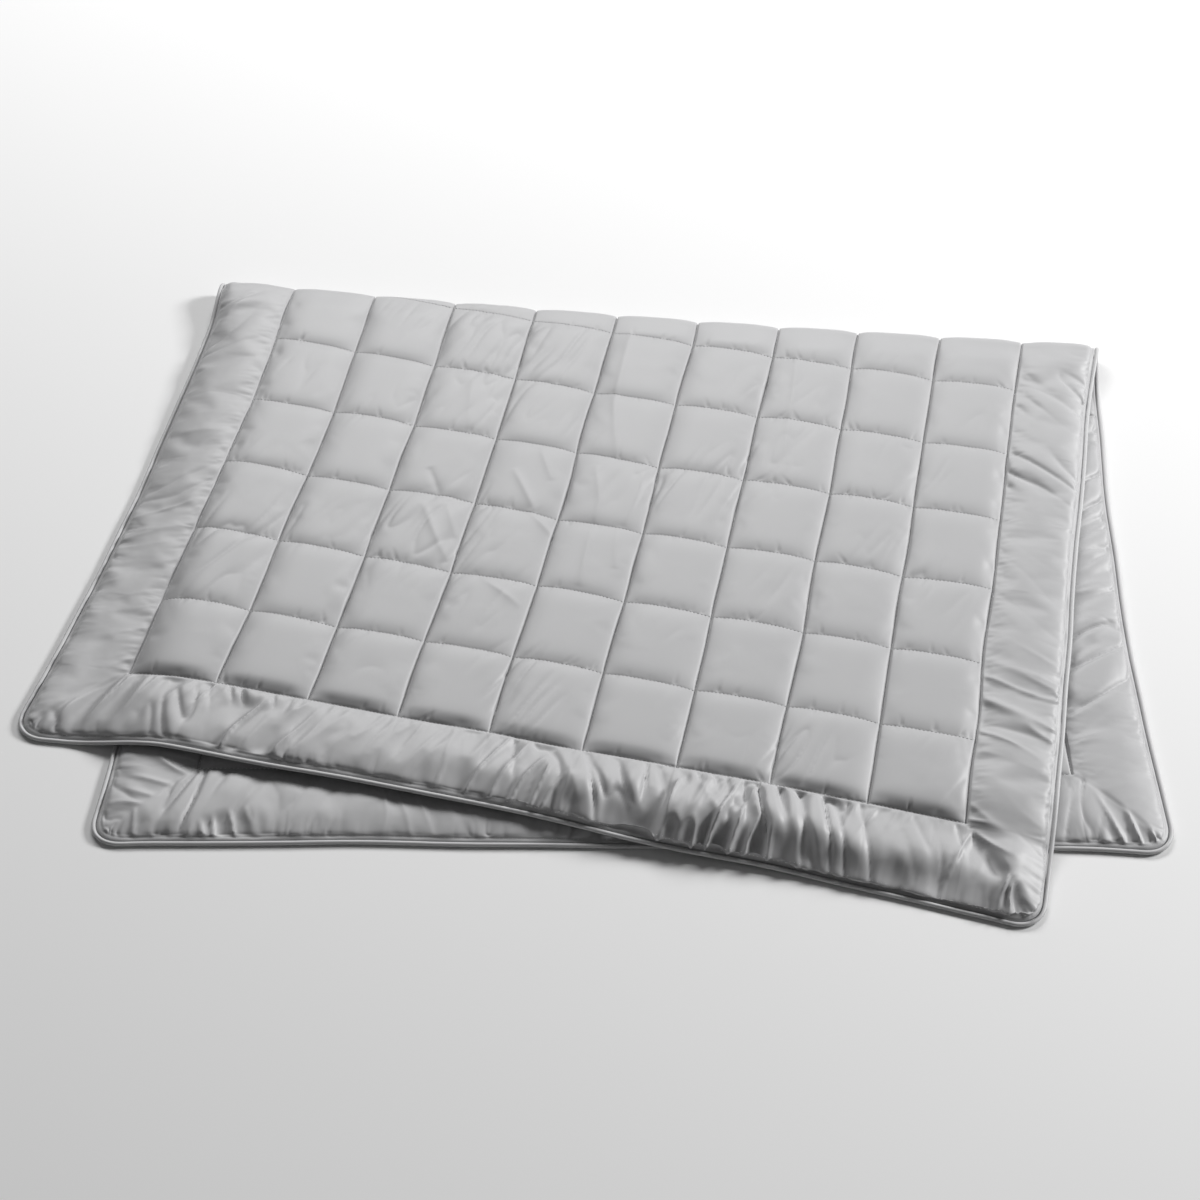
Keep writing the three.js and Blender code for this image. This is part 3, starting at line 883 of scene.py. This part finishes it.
def rim_loop():
    """The flat places of the cover's rim in order, with the way out of the duvet at each."""
    u = cloth_lines(COLUMNS, COLUMN_PITCH, COLUMN_STEPS, True)
    v = cloth_lines(ROWS, ROW_PITCH, ROW_STEPS, True)
    front = [(place, 0.0) for place in u[:-1]]
    right = [(WIDTH, place) for place in v[:-1]]
    back = [(place, LENGTH) for place in u[:0:-1]]
    left = [(0.0, place) for place in v[:0:-1]]
    places = np.array(front + right + back + left)
    places = np.stack(rounded(places[:, 0], places[:, 1]), -1)
    run = np.roll(places, -1, 0) - np.roll(places, 1, 0)
    run /= np.linalg.norm(run, axis=1, keepdims=True)
    return places, np.stack([run[:, 1], -run[:, 0]], -1)


def piped_edge():
    """The piping as a closed tube, with its length and turn in its UV map."""
    rim, out = rim_loop()
    cord = rim + out * (PIPING_GAP + PIPING_RADIUS)
    centre = middle(cord[:, 0], cord[:, 1])
    up = outward(cord[:, 0], cord[:, 1])
    away = centre - middle(rim[:, 0], rim[:, 1])
    away -= up * (away * up).sum(1, keepdims=True)
    away /= np.linalg.norm(away, axis=1, keepdims=True)
    stations = len(rim)
    angle = np.arange(PIPING_SIDES) * 2 * math.pi / PIPING_SIDES
    bulge = waves(np.random.default_rng(5), (stations, PIPING_SIDES), 1, 1)
    radius = PIPING_RADIUS - PIPING_UNEVEN * np.abs(bulge) / np.abs(bulge).max()
    ring = away[:, None] * np.cos(angle)[None, :, None] + up[:, None] * np.sin(angle)[None, :, None]
    points = centre[:, None] + ring * radius[..., None]

    numbers = np.arange(stations * PIPING_SIDES).reshape(stations, PIPING_SIDES)
    after = np.roll(numbers, -1, 0)
    faces = np.stack([numbers, after, np.roll(after, -1, 1), np.roll(numbers, -1, 1)], -1).reshape(-1, 4)
    mesh = bpy.data.meshes.new("edge_piping")
    mesh.from_pydata(points.reshape(-1, 3).tolist(), [], faces.tolist())
    steps = np.linalg.norm(np.roll(centre, -1, 0) - centre, axis=1)
    run = np.concatenate([[0], np.cumsum(steps)])
    face_run = np.repeat(np.arange(stations), PIPING_SIDES)
    face_side = np.tile(np.arange(PIPING_SIDES), stations)
    width = 2 * math.pi * PIPING_RADIUS / PIPING_SIDES
    along = np.stack([run[face_run], run[face_run + 1], run[face_run + 1], run[face_run]], -1)
    round_it = width * np.stack([face_side, face_side, face_side + 1, face_side + 1], -1)
    flat = np.stack([along, round_it], -1)
    mesh.uv_layers.new(name="flat").data.foreach_set("uv", flat.astype(np.float32).ravel())
    return mesh


piping = bpy.data.objects.new("edge_piping", piped_edge())
scene.collection.objects.link(piping)
bpy.context.view_layer.objects.active = piping
piping.select_set(True)
bpy.ops.object.mode_set(mode="EDIT")
bpy.ops.mesh.select_all(action="SELECT")
bpy.ops.mesh.normals_make_consistent(inside=False)
bpy.ops.object.mode_set(mode="OBJECT")
smoother = piping.modifiers.new("smooth", "SUBSURF")
smoother.levels = 1
smoother.render_levels = 1
bpy.ops.object.modifier_apply(modifier=smoother.name)
bpy.ops.object.shade_smooth()
piping.select_set(False)
piping.data.materials.append(cloth_material("Piping satin", PIPING_LIGHT, PIPING_SHADE, 0.5, 0.2, 0.5))
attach(piping, "root")
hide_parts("piping")

# The stitches.
# One pale thread is sewn along each seam of the squares and beside the piping. It makes a short float over
# the cloth and a dip through the filling in turn. Each float lies on the cloth of its own face.
STITCH_PITCH = 5.2 * MM
STITCH_LENGTH = 3.4 * MM
STITCH_WIDTH = 1.1 * MM
CROSS_LIFT = 0.5 * MM
DOWN_LIFT = -0.45 * MM
STITCH_REACH = 30 * MM
THREAD_LIGHT = (0.85, 0.85, 0.85, 1)
THREAD_SHADE = (0.78, 0.78, 0.78, 1)


def one_stitch():
    """Points and faces of one stitch, lying along X with its top to +Z."""
    rings = [(-0.3, 0.8), (0.0, 1.0), (0.3, 0.8)]
    points = [(-0.5, 0, -0.3)]
    for along, size in rings:
        for turn in range(4):
            angle = math.pi / 2 * turn
            points.append((along, 0.5 * size * math.cos(angle), 0.5 * size * math.sin(angle)))
    points.append((0.5, 0, -0.3))
    faces = []
    for turn in range(4):
        after = (turn + 1) % 4
        faces.append((0, 1 + after, 1 + turn))
        for ring in (0, 1):
            start = 1 + 4 * ring
            faces.append((start + turn, start + after, start + 4 + after, start + 4 + turn))
        faces.append((9 + turn, 9 + after, 13))
    scale = np.array([STITCH_LENGTH, STITCH_WIDTH, STITCH_WIDTH])
    return np.array(points) * scale, faces


def seam_places(v_start, v_end):
    """The flat place, the run and the lift of each stitch of the squares between two places of the length."""
    seams_u = BORDER + COLUMN_PITCH * np.arange(COLUMNS + 1)
    seams_v = BORDER + ROW_PITCH * np.arange(ROWS + 1)
    seams_v = seams_v[(seams_v >= v_start) & (seams_v <= v_end)]
    across = np.arange(BORDER + STITCH_PITCH / 2, WIDTH - BORDER, STITCH_PITCH)
    down = np.arange(BORDER + STITCH_PITCH / 2, LENGTH - BORDER, STITCH_PITCH)
    down = down[(down >= v_start) & (down <= v_end)]
    rows = [(u, v, 1, 0, CROSS_LIFT) for v in seams_v for u in across]
    columns = [(u, v, 0, 1, DOWN_LIFT) for u in seams_u for v in down]
    return np.array(rows + columns)


def edge_places(v_start, v_end):
    """The same for the stitches beside the piping."""
    rim, out = rim_loop()
    line = rim - out * DITCH
    steps = np.linalg.norm(np.roll(line, -1, 0) - line, axis=1)
    run = np.concatenate([[0], np.cumsum(steps)])
    marks = np.arange(0, run[-1], STITCH_PITCH)
    closed = np.concatenate([line, line[:1]])
    u = np.interp(marks, run, closed[:, 0])
    v = np.interp(marks, run, closed[:, 1])
    ahead_u = np.interp(marks + MM, run, closed[:, 0], period=run[-1]) - u
    ahead_v = np.interp(marks + MM, run, closed[:, 1], period=run[-1]) - v
    length = np.maximum(np.hypot(ahead_u, ahead_v), 1e-9)
    places = np.stack([u, v, ahead_u / length, ahead_v / length, 0 * u + DOWN_LIFT], -1)
    return places[(v >= v_start) & (v <= v_end)]


def sewn(name, places_by_side):
    """One object with a stitch at each place; side 1 is the outer face and -1 the inner one."""
    template, faces = one_stitch()
    all_points = []
    for side, places in places_by_side:
        u, v, run_u, run_v, lift = places.T
        up = side * outward(u, v)
        step = 0.5 * MM
        along = middle(u + step * run_u, v + step * run_v) - middle(u - step * run_u, v - step * run_v)
        along /= np.linalg.norm(along, axis=1, keepdims=True)
        across_it = np.cross(up, along)
        inside = middle(u, v)
        on_cloth = np.full(inside.shape, math.nan)
        for number, (start, way) in enumerate(zip(inside.tolist(), up.tolist())):
            found, place, _, _ = cover.ray_cast(start, way, distance=STITCH_REACH)
            if found:
                on_cloth[number] = place
        centre = on_cloth + up * lift[:, None]
        axes = np.stack([along, across_it, up], 1)
        points = centre[:, None] + np.einsum("pk,nkc->npc", template, axes)
        all_points.append(points[np.isfinite(centre[:, 0])])
    points = np.concatenate(all_points)
    points[..., 2] = np.maximum(points[..., 2], 0.1 * MM)
    offsets = np.arange(len(points))[:, None, None] * len(template)
    quads = np.array([face for face in faces if len(face) == 4])[None] + offsets
    tips = np.array([face for face in faces if len(face) == 3])[None] + offsets
    mesh = bpy.data.meshes.new(name)
    all_faces = quads.reshape(-1, 4).tolist() + tips.reshape(-1, 3).tolist()
    mesh.from_pydata(points.reshape(-1, 3).tolist(), [], all_faces)
    mesh.uv_layers.new(name="flat")
    stitches = bpy.data.objects.new(name, mesh)
    scene.collection.objects.link(stitches)
    return stitches


thread = cloth_material("Pale thread", THREAD_LIGHT, THREAD_SHADE, 0.5, 0.3, 0.2)
past_the_fold = FOLD_AT + FOLD_HALF_ARC
for stitches in (
    sewn("outer_stitches", [(1, seam_places(0, LENGTH))]),
    sewn("inner_stitches", [(-1, seam_places(past_the_fold, LENGTH))]),
    sewn("edge_stitches", [(1, edge_places(0, LENGTH)), (-1, edge_places(past_the_fold, LENGTH))]),
):
    stitches.data.materials.append(thread)
    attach(stitches, "root")

# The floor, the light and the camera.
# A pale floor under plain soft studio light: one lamp high at the right and a wide one behind the fold. The
# camera looks from the photograph's side and height.
FLOOR_SIZE = 30
FLOOR_COLOUR = (0.86, 0.86, 0.86, 1)
CAMERA_PLACE = (0.1364, -2.4413, 2.7237)
CAMERA_TURN = (41.442, -1.178, 4.939)
CAMERA_LENS = 77.4
KEY_PLACE = (4.9, 2.1, 2.9)
KEY_SIZE = 1.4
KEY_POWER = 335
BACK_PLACE = (-0.9, 3.3, 2.9)
BACK_SIZE = (3.6, 1.2)
BACK_POWER = 140
SKY_STRENGTH = 0.08

bpy.ops.mesh.primitive_plane_add(size=FLOOR_SIZE, location=(0, 0, 0))
floor = bpy.context.object
floor.name = "floor"
floor_paint = bpy.data.materials.new("Pale floor")
floor_paint.use_nodes = True
floor_paint.node_tree.nodes["Principled BSDF"].inputs["Base Color"].default_value = FLOOR_COLOUR
floor_paint.node_tree.nodes["Principled BSDF"].inputs["Roughness"].default_value = 0.9
floor.data.materials.append(floor_paint)

for place, size, power in (
    (KEY_PLACE, (KEY_SIZE, KEY_SIZE), KEY_POWER),
    (BACK_PLACE, BACK_SIZE, BACK_POWER),
):
    bpy.ops.object.light_add(type="AREA", location=place)
    lamp = bpy.context.object
    lamp.data.shape = "RECTANGLE"
    lamp.data.size, lamp.data.size_y = size
    lamp.data.energy = power
    lamp.rotation_euler = (-lamp.location).to_track_quat("-Z", "Y").to_euler()

sky = bpy.data.worlds.new("Studio")
sky.use_nodes = True
sky.node_tree.nodes["Background"].inputs["Color"].default_value = (1, 1, 1, 1)
sky.node_tree.nodes["Background"].inputs["Strength"].default_value = SKY_STRENGTH
scene.world = sky
scene.view_settings.view_transform = "Standard"

bpy.ops.object.camera_add(location=CAMERA_PLACE, rotation=[math.radians(turn) for turn in CAMERA_TURN])
camera = bpy.context.object
camera.data.lens = CAMERA_LENS
camera.data.sensor_width = 36
scene.camera = camera
